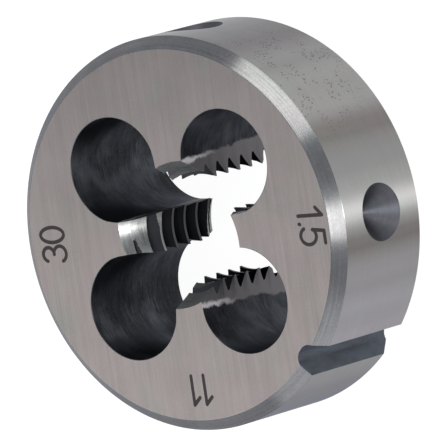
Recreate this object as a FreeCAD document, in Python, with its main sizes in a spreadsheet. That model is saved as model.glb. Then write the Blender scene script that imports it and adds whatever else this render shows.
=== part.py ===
import FreeCAD, Part

import math
import os

import Sketcher

# Round threading die, one solid piece of hardened steel.
# Lengths are millimetres and angles are degrees. The origin is the middle of the back face, +Z is the
# axis of the thread and points out of the front face, and one cutting land lies on +X.

SIZES = {
    # the turned blank
    "outer_diameter": 30.0,
    "thickness": 11.0,
    "edge_chamfer": 0.9,
    # the metric thread, and the height at which one of its grooves crosses the land on +X
    "thread_diameter": 10.0,
    "thread_pitch": 1.5,
    "thread_groove_height": 0.3,
    # the chip holes, which leave the lands standing between them
    "chip_hole_diameter": 8.0,
    "chip_hole_circle_diameter": 14.8,
    # the relieved entry cones: mean diameter at the face, length down to full thread, axis offset
    "front_lead_diameter": 11.0,
    "front_lead_length": 3.0,
    "back_lead_diameter": 10.4,
    "back_lead_length": 2.0,
    "lead_relief": 0.9,
    # the cone seats of the holder's screws
    "seat_diameter": 4.7,
    "seat_angle": 90.0,
    # the notch for the holder's spreading screw, and how far it lies clockwise of the land on +X
    "notch_depth": 1.54,
    "notch_floor_width": 1.25,
    "notch_angle": 60.0,
    "notch_corner_radius": 0.9,
    "notch_turn_angle": 43.3,
    # how far a cutting shape runs past the face that it starts from
    "overrun": 1.0,
}
LAND_COUNT = 4
FULL_TURN = 360.0
HALF_LAND_STEP = FULL_TURN / LAND_COUNT / 2
# Two points nearer to each other than this are one place.
SAME_PLACE = 1e-4

# Formulas of the sheet's sizes that more than one sketch uses.
RIM_RADIUS = "(sizes.outer_diameter / 2)"
FACE_RADIUS = "(sizes.outer_diameter / 2 - sizes.edge_chamfer)"
OVERRUN_RADIUS = "(sizes.outer_diameter / 2 + sizes.overrun)"
# A metric thread's flanks stand at 60 degrees. The crests of the teeth reach down to the root of the
# screw that they cut, 17/24 of the sharp height, and the groove between them ends in a flat of 1/8
# pitch.
THREAD_DEPTH = "(sizes.thread_pitch * tan(60 deg) * 17 / 48)"
BORE_RADIUS = f"(sizes.thread_diameter / 2 - {THREAD_DEPTH})"
ROOT_RADIUS = "(sizes.thread_diameter / 2)"
ROOT_FLAT = "(sizes.thread_pitch / 8)"
# Clockwise is the rest of a full turn the other way.
NOTCH_TURN = "360 deg - sizes.notch_turn_angle * 1 deg"
# The groove's section reaches from the root past the bore, by this share of the pitch in all.
GROOVE_REACH = 0.7
GROOVE_INNER_RADIUS = f"(sizes.thread_diameter / 2 - sizes.thread_pitch * {GROOVE_REACH})"
GROOVE_MOUTH = f"(sizes.thread_pitch / 8 + 2 * sizes.thread_pitch * {GROOVE_REACH} * tan(30 deg))"


def make_sheet(doc):
    """Write the driving sizes into a spreadsheet, one alias each."""
    sheet = doc.addObject("Spreadsheet::Sheet", "sizes")
    for row, (alias, value) in enumerate(SIZES.items(), start=1):
        sheet.set(f"A{row}", alias)
        sheet.set(f"B{row}", str(value))
        sheet.setAlias(f"B{row}", alias)
    doc.recompute()


def worked_out(user, formula):
    """Work out a formula of the sheet's sizes, as a plain number."""
    value = user.evalExpression(formula)
    return float(getattr(value, "Value", value))


def origin_feature(body, role):
    """Return the plane or axis of the body's own origin that has this role."""
    for feature in body.Origin.OriginFeatures:
        if feature.Role == role:
            return feature
    raise ValueError("no origin feature " + role)


def new_sketch(body, name, plane_role):
    """Attach an empty sketch to one of the body's origin planes."""
    sketch = body.newObject("Sketcher::SketchObject", name)
    sketch.AttachmentSupport = (origin_feature(body, plane_role), [""])
    sketch.MapMode = "FlatFace"
    return sketch


def draw_polygon(sketch, corners):
    """Draw a closed polygon through corners given as pairs of formulas; side i starts at corner i."""
    points = []
    for across, along in corners:
        points.append(FreeCAD.Vector(worked_out(sketch, across), worked_out(sketch, along), 0))
    for start, end in zip(points, points[1:] + points[:1]):
        sketch.addGeometry(Part.LineSegment(start, end), False)
    for side in range(len(points)):
        following = (side + 1) % len(points)
        sketch.addConstraint(Sketcher.Constraint("Coincident", side, 2, following, 1))


def level(sketch, *sides):
    """Hold the sides parallel to the sketch's first axis."""
    for side in sides:
        sketch.addConstraint(Sketcher.Constraint("Horizontal", side))


def upright(sketch, *sides):
    """Hold the sides parallel to the sketch's second axis."""
    for side in sides:
        sketch.addConstraint(Sketcher.Constraint("Vertical", side))


def mirrored(sketch, one_corner, other_corner):
    """Hold two corners, each the start of a side, alike on both sides of the sketch's first axis."""
    sketch.addConstraint(Sketcher.Constraint("Symmetric", one_corner, 1, other_corner, 1, -1))


def bind(sketch, label, kind, where, formula):
    """Add a named dimension and tie it to a formula of the sheet's sizes."""
    value = worked_out(sketch, formula)
    if kind == "Angle":
        value = math.radians(value)
    index = sketch.addConstraint(Sketcher.Constraint(kind, *where, value))
    sketch.renameConstraint(index, label)
    sketch.setExpression("Constraints." + label, formula)


def from_origin(corner):
    """Dimension arguments that measure from the sketch's origin to the start of a side."""
    return (-1, 1, corner, 1)


def between(one_corner, other_corner):
    """Dimension arguments that measure from the start of one side to the start of another."""
    return (one_corner, 1, other_corner, 1)


def check_cut(doc, before, feature):
    """Recompute and make sure that a cutting feature has taken material away."""
    doc.recompute()
    if not feature.Shape.Volume < before.Shape.Volume:
        raise RuntimeError(feature.Name + " cuts nothing")


def repeat_on_lands(doc, body, feature, name):
    """Repeat one cut around the axis, once for each land."""
    pattern = body.newObject("PartDesign::PolarPattern", name)
    pattern.Originals = [feature]
    pattern.Axis = (origin_feature(body, "Z_Axis"), [""])
    pattern.Angle = FULL_TURN
    pattern.Occurrences = LAND_COUNT
    body.Tip = pattern
    check_cut(doc, feature, pattern)
    return pattern


def turn_blank(doc, body):
    """Turn the ring: flat faces, a ground rim with both edges broken, and a bore of core size."""
    front_edge = "sizes.thickness - sizes.edge_chamfer"
    sketch = new_sketch(body, "blank_section", "XZ_Plane")
    draw_polygon(sketch, [
        (BORE_RADIUS, "0"),
        (FACE_RADIUS, "0"),
        (RIM_RADIUS, "sizes.edge_chamfer"),
        (RIM_RADIUS, front_edge),
        (FACE_RADIUS, "sizes.thickness"),
        (BORE_RADIUS, "sizes.thickness"),
    ])
    level(sketch, 0, 4)
    upright(sketch, 2, 5)
    sketch.addConstraint(Sketcher.Constraint("PointOnObject", 0, 1, -1))
    bind(sketch, "bore_radius", "DistanceX", from_origin(0), BORE_RADIUS)
    bind(sketch, "rim_radius", "DistanceX", from_origin(2), RIM_RADIUS)
    bind(sketch, "full_thickness", "DistanceY", between(0, 5), "sizes.thickness")
    bind(sketch, "back_edge_width", "DistanceX", between(1, 2), "sizes.edge_chamfer")
    bind(sketch, "back_edge_height", "DistanceY", between(1, 2), "sizes.edge_chamfer")
    bind(sketch, "front_edge_width", "DistanceX", between(4, 3), "sizes.edge_chamfer")
    bind(sketch, "front_edge_height", "DistanceY", between(3, 4), "sizes.edge_chamfer")
    blank = body.newObject("PartDesign::Revolution", "blank")
    blank.Profile = sketch
    blank.ReferenceAxis = (sketch, ["V_Axis"])
    blank.Angle = FULL_TURN
    doc.recompute()
    return blank


def drill_chip_holes(doc, body, before):
    """Drill the chip holes between the lands; each breaks into the bore."""
    sketch = new_sketch(body, "chip_hole_section", "XY_Plane")
    reach = worked_out(sketch, "sizes.chip_hole_circle_diameter / 2")
    turn = math.radians(HALF_LAND_STEP)
    centre = FreeCAD.Vector(reach * math.cos(turn), reach * math.sin(turn), 0)
    radius = worked_out(sketch, "sizes.chip_hole_diameter / 2")
    sketch.addGeometry(Part.Circle(centre, FreeCAD.Vector(0, 0, 1), radius), False)
    sketch.addGeometry(Part.LineSegment(FreeCAD.Vector(0, 0, 0), centre), True)
    sketch.addConstraint(Sketcher.Constraint("Coincident", 1, 1, -1, 1))
    sketch.addConstraint(Sketcher.Constraint("Coincident", 1, 2, 0, 3))
    bind(sketch, "hole_diameter", "Diameter", (0,), "sizes.chip_hole_diameter")
    bind(sketch, "hole_reach", "Distance", (1,), "sizes.chip_hole_circle_diameter / 2")
    bind(sketch, "hole_turn", "Angle", (1,), f"{HALF_LAND_STEP} deg")
    hole = body.newObject("PartDesign::Pocket", "chip_hole")
    hole.Profile = sketch
    hole.Type = "ThroughAll"
    hole.Midplane = True
    check_cut(doc, before, hole)
    return repeat_on_lands(doc, body, hole, "chip_holes")


def cut_leads(doc, body, before, end, face_height, inward):
    """Cut the entry cone of one end on every land.

    Each land's cone has an axis of its own, set off sideways by the relief, so that the land stands
    proudest at its cutting edge and falls away behind it. The front face is used turning one way and
    the back face the other, so the axis is set off to the other side there. inward is the sign of Z
    that leads into the part from this end's face.
    """
    length = f"sizes.{end}_lead_length"
    mean_radius = f"(sizes.{end}_lead_diameter / 2)"
    cone_radius = f"sqrt({mean_radius}^2 + sizes.lead_relief^2)"
    slope = f"({mean_radius} - {BORE_RADIUS}) / {length}"
    outer_radius = f"{cone_radius} + {slope} * sizes.overrun"
    inner_radius = f"{cone_radius} - {slope} * ({length} + sizes.overrun)"
    outer_height = f"{-inward} * sizes.overrun"
    inner_height = f"{inward} * ({length} + sizes.overrun)"
    sketch = new_sketch(body, end + "_lead_section", "XZ_Plane")
    sketch.setExpression(".AttachmentOffset.Base.y", face_height)
    sketch.setExpression(".AttachmentOffset.Base.z", f"{-inward} * sizes.lead_relief")
    draw_polygon(sketch, [
        ("0", outer_height),
        (outer_radius, outer_height),
        (inner_radius, inner_height),
        ("0", inner_height),
    ])
    level(sketch, 0, 2)
    upright(sketch, 3)
    sketch.addConstraint(Sketcher.Constraint("PointOnObject", 0, 1, -2))
    bind(sketch, "outer_radius", "DistanceX", from_origin(1), outer_radius)
    bind(sketch, "inner_radius", "DistanceX", from_origin(2), inner_radius)
    bind(sketch, "outer_height", "DistanceY", from_origin(0), outer_height)
    bind(sketch, "inner_height", "DistanceY", from_origin(3), inner_height)
    lead = body.newObject("PartDesign::Groove", end + "_lead")
    lead.Profile = sketch
    lead.ReferenceAxis = (sketch, ["V_Axis"])
    lead.Angle = FULL_TURN / LAND_COUNT
    lead.Midplane = True
    check_cut(doc, before, lead)
    return repeat_on_lands(doc, body, lead, end + "_leads")


def sink_screw_seats(doc, body, before):
    """Sink a cone seat for a holder's screw into the rim behind each land, halfway up."""
    half_angle = "(sizes.seat_angle * 1 deg / 2)"
    tip_radius = f"{RIM_RADIUS} - sizes.seat_diameter / 2 / tan{half_angle}"
    mouth_radius = f"sizes.seat_diameter / 2 + sizes.overrun * tan{half_angle}"
    sketch = new_sketch(body, "screw_seat_section", "XZ_Plane")
    sketch.setExpression(".AttachmentOffset.Base.y", "sizes.thickness / 2")
    draw_polygon(sketch, [(tip_radius, "0"), (OVERRUN_RADIUS, "0"), (OVERRUN_RADIUS, mouth_radius)])
    level(sketch, 0)
    upright(sketch, 1)
    sketch.addConstraint(Sketcher.Constraint("PointOnObject", 0, 1, -1))
    bind(sketch, "tip_radius", "DistanceX", from_origin(0), tip_radius)
    bind(sketch, "outer_radius", "DistanceX", from_origin(1), OVERRUN_RADIUS)
    bind(sketch, "mouth_radius", "DistanceY", between(1, 2), mouth_radius)
    seat = body.newObject("PartDesign::Groove", "screw_seat")
    seat.Profile = sketch
    seat.ReferenceAxis = (sketch, ["H_Axis"])
    seat.Angle = FULL_TURN
    check_cut(doc, before, seat)
    return repeat_on_lands(doc, body, seat, "screw_seats")


def notch_turn(user):
    """Return the turn about the die's axis that takes +X to the notch."""
    return FreeCAD.Rotation(FreeCAD.Vector(0, 0, 1), worked_out(user, NOTCH_TURN))


def mill_notch(doc, body, before):
    """Mill the tapered notch through the rim, behind the chip hole clockwise of the +X land."""
    floor_radius = f"{RIM_RADIUS} - sizes.notch_depth"
    half_floor = "sizes.notch_floor_width / 2"
    flare = "(sizes.notch_depth + sizes.overrun) * tan(sizes.notch_angle * 1 deg / 2)"
    half_mouth = f"{half_floor} + {flare}"
    sketch = new_sketch(body, "notch_section", "XY_Plane")
    sketch.AttachmentOffset = FreeCAD.Placement(FreeCAD.Vector(0, 0, 0), notch_turn(sketch))
    sketch.setExpression(".AttachmentOffset.Rotation.Angle", NOTCH_TURN)
    draw_polygon(sketch, [
        (floor_radius, f"-({half_floor})"),
        (OVERRUN_RADIUS, f"-({half_mouth})"),
        (OVERRUN_RADIUS, half_mouth),
        (floor_radius, half_floor),
    ])
    mirrored(sketch, 0, 3)
    mirrored(sketch, 1, 2)
    bind(sketch, "floor_radius", "DistanceX", from_origin(0), floor_radius)
    bind(sketch, "outer_radius", "DistanceX", from_origin(1), OVERRUN_RADIUS)
    bind(sketch, "floor_width", "DistanceY", between(0, 3), "sizes.notch_floor_width")
    bind(sketch, "mouth_width", "DistanceY", between(1, 2), f"2 * ({half_mouth})")
    notch = body.newObject("PartDesign::Pocket", "notch")
    notch.Profile = sketch
    notch.Type = "ThroughAll"
    notch.Midplane = True
    check_cut(doc, before, notch)
    return notch


def round_notch_corners(doc, body, notch):
    """Round the two corners along the floor of the notch."""
    floor_radius = worked_out(notch, f"{RIM_RADIUS} - sizes.notch_depth")
    half_floor = worked_out(notch, "sizes.notch_floor_width / 2")
    half_height = worked_out(notch, "sizes.thickness / 2")
    turn = notch_turn(notch)
    corners = []
    for side in (-1, 1):
        middle = turn.multVec(FreeCAD.Vector(floor_radius, side * half_floor, half_height))
        for index, edge in enumerate(notch.Shape.Edges, start=1):
            if (edge.CenterOfMass - middle).Length < SAME_PLACE:
                corners.append(f"Edge{index}")
    if len(corners) != 2:
        raise RuntimeError("the notch has " + str(len(corners)) + " floor corners")
    rounding = body.newObject("PartDesign::Fillet", "notch_corners")
    rounding.Base = (notch, corners)
    rounding.setExpression("Radius", "sizes.notch_corner_radius")
    doc.recompute()
    return rounding


def cut_thread(doc, body, before):
    """Cut the right-hand metric thread through all the lands with one helical groove.

    The groove starts one pitch below the height that the sheet gives it on +X and runs on past the
    front face, so that both ends of the bore are cut through.
    """
    sketch = new_sketch(body, "thread_groove_section", "XZ_Plane")
    sketch.setExpression(".AttachmentOffset.Base.y", "sizes.thread_groove_height - sizes.thread_pitch")
    draw_polygon(sketch, [
        (GROOVE_INNER_RADIUS, f"-{GROOVE_MOUTH} / 2"),
        (ROOT_RADIUS, f"-{ROOT_FLAT} / 2"),
        (ROOT_RADIUS, f"{ROOT_FLAT} / 2"),
        (GROOVE_INNER_RADIUS, f"{GROOVE_MOUTH} / 2"),
    ])
    mirrored(sketch, 1, 2)
    mirrored(sketch, 0, 3)
    bind(sketch, "root_radius", "DistanceX", from_origin(1), ROOT_RADIUS)
    bind(sketch, "root_flat", "DistanceY", between(1, 2), ROOT_FLAT)
    bind(sketch, "inner_radius", "DistanceX", from_origin(0), GROOVE_INNER_RADIUS)
    bind(sketch, "mouth", "DistanceY", between(0, 3), GROOVE_MOUTH)
    doc.recompute()
    thread = body.newObject("PartDesign::SubtractiveHelix", "thread")
    thread.Profile = sketch
    thread.ReferenceAxis = (sketch, ["V_Axis"])
    thread.Mode = "pitch-height-angle"
    thread.setExpression("Pitch", "sizes.thread_pitch")
    thread.setExpression("Height", "sizes.thickness + 2 * sizes.thread_pitch")
    thread.Angle = 0
    thread.LeftHanded = False
    thread.Reversed = False
    # merging the helical faces again would spoil them
    thread.Refine = False
    check_cut(doc, before, thread)
    return thread


def make_die(doc):
    """Make the die as one body, from the blank to the thread."""
    body = doc.addObject("PartDesign::Body", "die_body")
    body.Label = "die_body"
    body.Placement = FreeCAD.Placement()
    shape = turn_blank(doc, body)
    shape = drill_chip_holes(doc, body, shape)
    shape = cut_leads(doc, body, shape, "front", "sizes.thickness", -1)
    shape = cut_leads(doc, body, shape, "back", "0", 1)
    shape = sink_screw_seats(doc, body, shape)
    shape = mill_notch(doc, body, shape)
    shape = round_notch_corners(doc, body, shape)
    cut_thread(doc, body, shape)
    return body


def check(doc, pieces):
    """Stop at an object that failed, or at a piece that isn't one valid solid."""
    for item in doc.Objects:
        if "Invalid" in item.State or "Error" in item.State:
            raise RuntimeError(item.Name + " failed")
    for piece in pieces:
        shape = piece.Shape
        if shape.isNull() or not shape.isValid() or len(shape.Solids) != 1:
            raise RuntimeError(piece.Label + " is not one valid solid")


def write(pieces):
    """Write each piece to a STEP file that has its label as its name."""
    os.makedirs("parts", exist_ok=True)
    for piece in pieces:
        piece.Shape.exportStep("parts/" + piece.Label + ".step")
        print(piece.Label, "volume", round(piece.Shape.Volume, 3), "mm3,", len(piece.Shape.Faces), "faces")


def main():
    doc = FreeCAD.newDocument("threading_die")
    make_sheet(doc)
    pieces = [make_die(doc)]
    doc.recompute()
    check(doc, pieces)
    write(pieces)


main()
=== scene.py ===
"""Looks of a round threading die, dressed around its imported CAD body. Lengths are metres, angles radians."""

import math

import bpy
import numpy as np
from mathutils import Matrix, Vector


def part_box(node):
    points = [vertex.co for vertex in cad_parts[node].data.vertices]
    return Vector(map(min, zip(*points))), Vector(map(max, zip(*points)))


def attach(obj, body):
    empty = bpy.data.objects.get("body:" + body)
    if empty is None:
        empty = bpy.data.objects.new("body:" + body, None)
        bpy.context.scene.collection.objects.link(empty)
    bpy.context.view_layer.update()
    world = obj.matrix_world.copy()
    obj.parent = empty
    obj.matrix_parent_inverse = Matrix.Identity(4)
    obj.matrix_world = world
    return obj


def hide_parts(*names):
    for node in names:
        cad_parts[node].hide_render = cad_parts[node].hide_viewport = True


bl_info = {
    "name": "Threading Die",
    "version": (1, 0, 0),
    "blender": (4, 5, 0),
    "location": "View3D > Sidebar > Die",
    "description": "Dresses a round threading die in ground, turned and cut steel",
    "category": "Object",
}

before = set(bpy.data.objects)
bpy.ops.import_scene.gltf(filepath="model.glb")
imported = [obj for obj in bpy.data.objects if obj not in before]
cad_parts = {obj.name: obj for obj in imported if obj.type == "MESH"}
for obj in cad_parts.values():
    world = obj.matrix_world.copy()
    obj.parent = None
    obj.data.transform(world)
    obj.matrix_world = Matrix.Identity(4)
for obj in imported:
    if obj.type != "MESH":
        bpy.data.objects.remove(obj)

CAD_NODE = "die_body"
BODY = "root"
BOX_LOW, BOX_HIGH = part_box(CAD_NODE)

MILLIMETRE = 0.001
MICRON = 0.000001
FULL_TURN = 2 * math.pi
UP = np.array([0.0, 0.0, 1.0])

LANDS = 4
LAND_STEP = FULL_TURN / LANDS
# Angles round the ring's outside are counted from the middle of the chip hole clockwise of +X.
START = -LAND_STEP / 2
# The flanks of the thread and of the notch lean by this much, so that two of them make 60 degrees.
FLANK_LEAN = math.radians(30)
# Share of the thread's sharp height that its crests reach into the screw.
CREST_SHARE = 17 / 24

# Corners of faces that lie closer than this share a vertex; a face under this area has no normal.
WELD_GRID = 0.01 * MICRON
SLIVER_AREA = 1e-16
# Steps of the ring's outside across a seat, between two seats, and from the notch to a seat.
SEAT_STEPS, BETWEEN_STEPS, NOTCH_STEPS = 24, 50, 22
# Half the angle and half the height of the piece of rim around a screw seat.
SEAT_BLOCK_ANGLE = math.radians(12)
SEAT_BLOCK_HEIGHT = 3.2 * MILLIMETRE
# A face's middle ring: its radius, and half the angle that a hole and a land take up on it.
MIDDLE_RING = 13.2 * MILLIMETRE
HOLE_SHARE = math.radians(38.5)
LAND_SHARE = math.radians(4)
# Between its edges a face lies low by this much; the slope at its outline is this share of it wide.
DISH_DEPTH = 10 * MICRON
FACE_BORDER = 0.05 / 14.1

# The patch of pits on the rim: its middle, and where the pits begin to thin out and end.
PIT_PATCH = (0.0096, 0.0115, 0.0072)
PIT_REACH = (4.0 * MILLIMETRE, 7.5 * MILLIMETRE)
# Painted reflection bands across the rim, painted highlights and painted shade: their middles and half their
# widths in degrees counterclockwise of +X, and their tones against the rest of the rim.
RIM_PAINTED_REFLECTIONS = (
    {"turn": -32.0, "half_width": 24.0, "tone": (1.08, 1.05, 1.13)},
    {"turn": -7.0, "half_width": 7.0, "tone": (0.60, 0.56, 0.55)},
    {"turn": 26.0, "half_width": 8.0, "tone": (0.72, 0.68, 0.66)},
    {"turn": 65.0, "half_width": 9.0, "tone": (0.80, 0.78, 0.79)},
    {"turn": 94.0, "half_width": 20.0, "tone": (1.50, 1.47, 1.47)},
    {"turn": 282.0, "half_width": 28.0, "tone": (0.48, 0.49, 0.59)},
)

# The material slots on the die, in the order in which STEEL_LOOKS gives their finishes.
GROUND_FACE, TURNED_EDGE, GROUND_RIM, CHIP_HOLE_WALL = range(4)
GROUND_LEAD, CUT_THREAD, THREAD_CREST, SCREW_SEAT, MILLED_NOTCH = range(4, 9)


# The measures and colours that a user would change

def length(name, description, default):
    """A length property in metres."""
    return bpy.props.FloatProperty(
        name=name, description=description, default=default, min=0.0, precision=5, unit="LENGTH"
    )


def turning(name, description, default):
    """An angle property, with its default in degrees."""
    return bpy.props.FloatProperty(
        name=name, description=description, default=math.radians(default), subtype="ANGLE"
    )


def colour(name, description, default):
    """A colour property."""
    return bpy.props.FloatVectorProperty(
        name=name, description=description, default=default, min=0.0, max=1.0, size=3, subtype="COLOR"
    )


class DieSizes(bpy.types.PropertyGroup):
    """The die's measures, as its CAD source has them."""

    outer_diameter: length("Outer diameter", "Across the ground rim", round(BOX_HIGH.x - BOX_LOW.x, 4))
    thickness: length("Thickness", "From the back face to the front face", round(BOX_HIGH.z - BOX_LOW.z, 4))
    edge_chamfer: length("Edge chamfer", "Width of the turned edges at 45 degrees", 0.0009)
    thread_diameter: length("Thread diameter", "Major diameter of the thread", 0.010)
    thread_pitch: length("Thread pitch", "Rise of the thread in one turn", 0.0015)
    groove_height: length("Groove height", "Height at which a groove crosses the land on +X", 0.0003)
    hole_diameter: length("Chip hole diameter", "Across one chip hole", 0.008)
    hole_circle: length("Chip hole circle", "Across the circle of the chip holes' middles", 0.0148)
    front_lead_diameter: length("Front lead diameter", "Mean diameter of the entry cones at the front", 0.011)
    front_lead_length: length("Front lead length", "Depth of the entry cones at the front", 0.003)
    back_lead_diameter: length("Back lead diameter", "Mean diameter of the entry cones at the back", 0.0104)
    back_lead_length: length("Back lead length", "Depth of the entry cones at the back", 0.002)
    lead_relief: length("Lead relief", "Sideways offset of each land's own cone", 0.0009)
    seat_diameter: length("Seat diameter", "Mouth of a screw's cone seat", 0.0047)
    notch_depth: length("Notch depth", "From the rim to the floor of the notch", 0.00154)
    notch_floor: length("Notch floor", "Width of the notch's floor before its corners are rounded", 0.00125)
    notch_corner: length("Notch corner", "Radius between the floor and the flanks", 0.0009)
    notch_turn: turning("Notch turn", "How far the notch lies clockwise of the land on +X", 43.3)
    edge_break: length("Edge break", "Radius left on the outer edges by deburring", 0.00007)
    mouth_break: length("Mouth break", "Radius left on the chip holes' mouths", 0.00006)
    number_height: length("Number height", "Height of the etched numbers", 0.0022)
    number_stroke: length("Number stroke", "Width of the etched lines", 0.0003)


class DieFinishes(bpy.types.PropertyGroup):
    """The colours of the die's surfaces."""

    ground_face: colour("Ground face", "Flat-ground faces", (0.178, 0.158, 0.152))
    turned_edge: colour("Turned edge", "Glossy turned edges", (0.158, 0.156, 0.160))
    ground_rim: colour("Ground rim", "Satin ground rim", (0.304, 0.298, 0.294))
    chip_hole_wall: colour("Chip hole wall", "Dark drilled walls", (0.0295, 0.0315, 0.0355))
    # painted reflection: the lighter strip beside the teeth, with a painted highlight along its border
    rake_reflection: colour("Rake", "Ground strips beside the teeth", (0.148, 0.142, 0.147))
    ground_lead: colour("Ground lead", "Ground entry cones", (0.285, 0.29, 0.285))
    cut_thread: colour("Cut thread", "Dark thread flanks", (0.009, 0.009, 0.010))
    thread_crest: colour("Thread crest", "Crests of the thread", (0.060, 0.060, 0.066))
    screw_seat: colour("Screw seat", "Drilled cone seats", (0.080, 0.080, 0.091))
    milled_notch: colour("Milled notch", "Milled notch in the rim", (0.084, 0.092, 0.110))
    etched_number: colour("Etched number", "Dark etched numbers", (0.020, 0.016, 0.016))
    floor: colour("Floor", "Studio floor", (0.10, 0.10, 0.10))


# Faces from grids and lines of points. Every face has four corners, each with a place, a normal and
# a grain coordinate of its own; a triangle repeats its last corner.

def corners_of(values):
    """The four corners of every cell of a grid of values, by rows and columns."""
    cells = [values[:-1, :-1], values[:-1, 1:], values[1:, 1:], values[1:, :-1]]
    return np.stack(cells, axis=2).reshape(-1, 4, values.shape[-1])


def grid_patch(points, normals, grain, finish):
    """The faces of one grid, in one finish or with a finish for each cell."""
    faces = corners_of(points)
    return {
        "points": faces,
        "normals": corners_of(normals),
        "grain": corners_of(grain),
        "finish": np.broadcast_to(np.asarray(finish).ravel(), (len(faces),)),
    }


def zipper(one_at, other_at):
    """Triangles between two lines of points that are walked by two rising parameters.

    The steps of both lines are taken in the order of their parameters. A step on one line makes a
    triangle with the point that the other line has reached. The indices count through both lines.
    """
    steps = np.concatenate([one_at[1:], other_at[1:]])
    on_other = np.concatenate([np.zeros(len(one_at) - 1, int), np.ones(len(other_at) - 1, int)])
    on_other = on_other[np.lexsort((on_other, steps))]
    one = np.cumsum(1 - on_other)
    other = len(one_at) + np.cumsum(on_other)
    first = np.where(on_other, one, one - 1)
    second = np.where(on_other, other, one)
    third = np.where(on_other, other - 1, other)
    return np.stack([first, second, third, third], axis=1)


def strip_patch(one, other, finish):
    """The faces between two lines, each given as its parameter, points, normals and grain."""
    corners = zipper(one[0], other[0])
    points, normals, grain = (np.concatenate([a, b])[corners] for a, b in zip(one[1:], other[1:]))
    return {"points": points, "normals": normals, "grain": grain, "finish": np.full(len(corners), finish)}


def facing_out(points, normals):
    """Which faces already wind the way that their normals point."""
    across = np.cross(points[:, 2] - points[:, 0], points[:, 3] - points[:, 1])
    flat = np.linalg.norm(across, axis=1) < SLIVER_AREA
    across[flat] = np.cross(points[flat, 1] - points[flat, 0], points[flat, 2] - points[flat, 0])
    return np.einsum("fc,fc->f", across, normals.mean(axis=1)) >= 0


def welded(patches):
    """Join patches: corners at one place share a vertex, and cells squeezed to nothing are left out."""
    joined = {key: np.concatenate([patch[key] for patch in patches]) for key in patches[0]}
    turned = ~facing_out(joined["points"], joined["normals"])
    for key in ("points", "normals", "grain"):
        joined[key][turned] = joined[key][turned, ::-1]
    spots = np.round(joined["points"].reshape(-1, 3) / WELD_GRID).astype(np.int64)
    places, vertex = np.unique(spots, axis=0, return_inverse=True)
    vertex = vertex.reshape(-1, 4)
    kept = vertex != np.roll(vertex, 1, axis=1)
    whole = (kept.sum(axis=1) >= 3) & (vertex[:, 0] != vertex[:, 2]) & (vertex[:, 1] != vertex[:, 3])
    kept = kept[whole]
    return {
        "vertices": places * WELD_GRID,
        "loops": vertex[whole][kept],
        "sizes": kept.sum(axis=1),
        "normals": joined["normals"][whole][kept],
        "grain": joined["grain"][whole][kept],
        "finish": joined["finish"][whole],
    }


def running(steps):
    """The running total of some steps, from zero."""
    return np.concatenate([[0], np.cumsum(steps)])


def travelled(line):
    """How far each point of a line lies from its first point, along the line."""
    return running(np.linalg.norm(np.diff(line, axis=0), axis=1))


def mesh_object(name, made, materials):
    """Put welded faces into a new object, with their normals and grain map."""
    mesh = bpy.data.meshes.new(name)
    starts = running(made["sizes"])[:-1]
    mesh.vertices.add(len(made["vertices"]))
    mesh.vertices.foreach_set("co", made["vertices"].astype(np.float32).ravel())
    mesh.loops.add(len(made["loops"]))
    mesh.loops.foreach_set("vertex_index", made["loops"].astype(np.int32))
    mesh.polygons.add(len(starts))
    mesh.polygons.foreach_set("loop_start", starts.astype(np.int32))
    mesh.polygons.foreach_set("loop_total", made["sizes"].astype(np.int32))
    mesh.polygons.foreach_set("material_index", made["finish"].astype(np.int32))
    mesh.polygons.foreach_set("use_smooth", np.ones(len(starts), bool))
    grain = mesh.uv_layers.new(name="grain")
    grain.data.foreach_set("uv", made["grain"].astype(np.float32).ravel())
    mesh.update(calc_edges=True)
    if mesh.validate():
        raise RuntimeError(name + " has faces that Blender had to mend")
    mesh.normals_split_custom_set(made["normals"].astype(np.float32))
    for material in materials:
        mesh.materials.append(material)
    piece = bpy.data.objects.new(name, mesh)
    bpy.context.scene.collection.objects.link(piece)
    return piece


def beside(*values):
    """The values of several arrays side by side, at every point."""
    return np.stack(np.broadcast_arrays(*values), axis=-1)


def polar(radius, angle, height):
    """Points from radius, angle and height about the die's axis."""
    return beside(radius * np.cos(angle), radius * np.sin(angle), height)


def swung(turn, outward, onward, up):
    """Points or directions from their parts outward at an angle, onward around the axis, and up."""
    cosine, sine = np.cos(turn), np.sin(turn)
    return beside(outward * cosine - onward * sine, outward * sine + onward * cosine, up)


def unit(vectors):
    """The vectors at length one."""
    return vectors / np.linalg.norm(vectors, axis=-1, keepdims=True)


# The cutting lands: bore, thread and the two relieved entry cones

def thread_depth(sizes):
    """From the groove's root to the crests, which stop short of the thread's sharp height."""
    return sizes.thread_pitch * math.tan(2 * FLANK_LEAN) / 2 * CREST_SHARE


def half_root(sizes):
    """Half the flat at the groove's root, which is 1/8 pitch wide."""
    return sizes.thread_pitch / 16


def bore_radius(sizes):
    """Radius of the lands' crests."""
    return sizes.thread_diameter / 2 - thread_depth(sizes)


def groove_place(sizes, angle, height):
    """How far a place lies above the middle of its nearest groove, along the axis."""
    turns = (height - sizes.groove_height) / sizes.thread_pitch - angle / FULL_TURN
    return (turns - np.round(turns)) * sizes.thread_pitch


def thread_radius(sizes, angle, height):
    """The groove's section: a flat root and flanks at 60 degrees, wound along the helix."""
    off_root = np.maximum(0, np.abs(groove_place(sizes, angle, height)) - half_root(sizes))
    return sizes.thread_diameter / 2 - off_root / math.tan(FLANK_LEAN)


def cone_slope(sizes, end):
    """How fast an entry cone narrows along the axis."""
    diameter, reach = lead_of(sizes, end)
    return (diameter / 2 - bore_radius(sizes)) / reach


def lead_of(sizes, end):
    """Mean diameter and length of the entry cones at one end."""
    if end == "front":
        return sizes.front_lead_diameter, sizes.front_lead_length
    return sizes.back_lead_diameter, sizes.back_lead_length


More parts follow.
